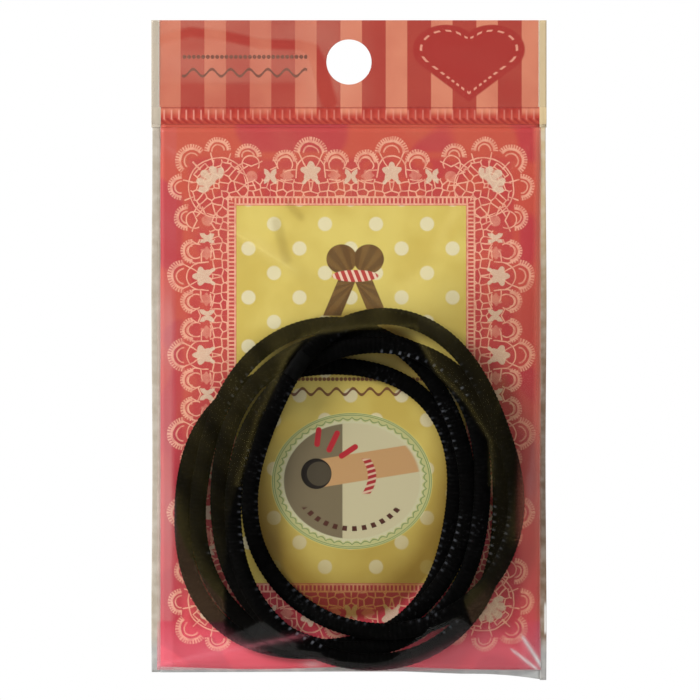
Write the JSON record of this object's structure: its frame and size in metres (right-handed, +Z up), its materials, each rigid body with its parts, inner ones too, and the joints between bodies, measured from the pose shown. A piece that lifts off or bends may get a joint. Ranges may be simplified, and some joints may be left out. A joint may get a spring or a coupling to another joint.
{
  "type": "anti-static wrist band pack",
  "caption": "Clear header bag on a hang hole, with a printed backing, a fluted seal and loose black elastic anti-static wrist bands inside.",
  "frame": {"origin": "centre of the hang hole, in the middle of the header's thickness", "axes": "+X to the right seen from the front, +Z up along the bag, front of the bag towards -Y"},
  "size_m": [0.07, 0.0073, 0.1164],
  "materials": {
    "clear_film": "clear glossy film",
    "seal_film": "melted clear film",
    "header_print": "printed card with soft stripes",
    "fluted_print": "printed film pressed into flutes",
    "backing_print": "printed card",
    "band_cover": "knitted elastic cover",
    "band_core": "rubber",
    "band_yarn": "conductive yarn",
    "band_splice": "bonded cover"
  },
  "bodies": {
    "header": {"header_front_film": "clear_film", "header_back_film": "clear_film", "header_card": "header_print", "fluted_seal": "fluted_print"},
    "pouch": {"front_film": "clear_film", "back_film": "clear_film", "backing_sheet": "backing_print", "left_side_seal": "seal_film", "right_side_seal": "seal_film", "bottom_seal": "seal_film"},
    "bands": {"band_1_cover": "band_cover", "band_1_core": "band_core", "band_1_yarn": "band_yarn", "band_1_splice": "band_splice", "band_2_cover": "band_cover", "band_2_core": "band_core", "band_2_yarn": "band_yarn", "band_2_splice": "band_splice", "band_3_cover": "band_cover", "band_3_core": "band_core", "band_3_yarn": "band_yarn", "band_3_splice": "band_splice", "band_4_cover": "band_cover", "band_4_core": "band_core", "band_4_yarn": "band_yarn", "band_4_splice": "band_splice", "band_5_cover": "band_cover", "band_5_core": "band_core", "band_5_yarn": "band_yarn", "band_5_splice": "band_splice"}
  },
  "joints": [
    {"name": "header_fold", "type": "hinge", "parent": "header", "child": "pouch", "pos_m": [0, 0, -0.0113], "axis": [1, 0, 0], "range_deg": [-60, 60]},
    {"name": "bands_slide", "type": "slide", "parent": "pouch", "child": "bands", "axis": [0, 0, 1], "range_m": [0, 0.02]}
  ]
}
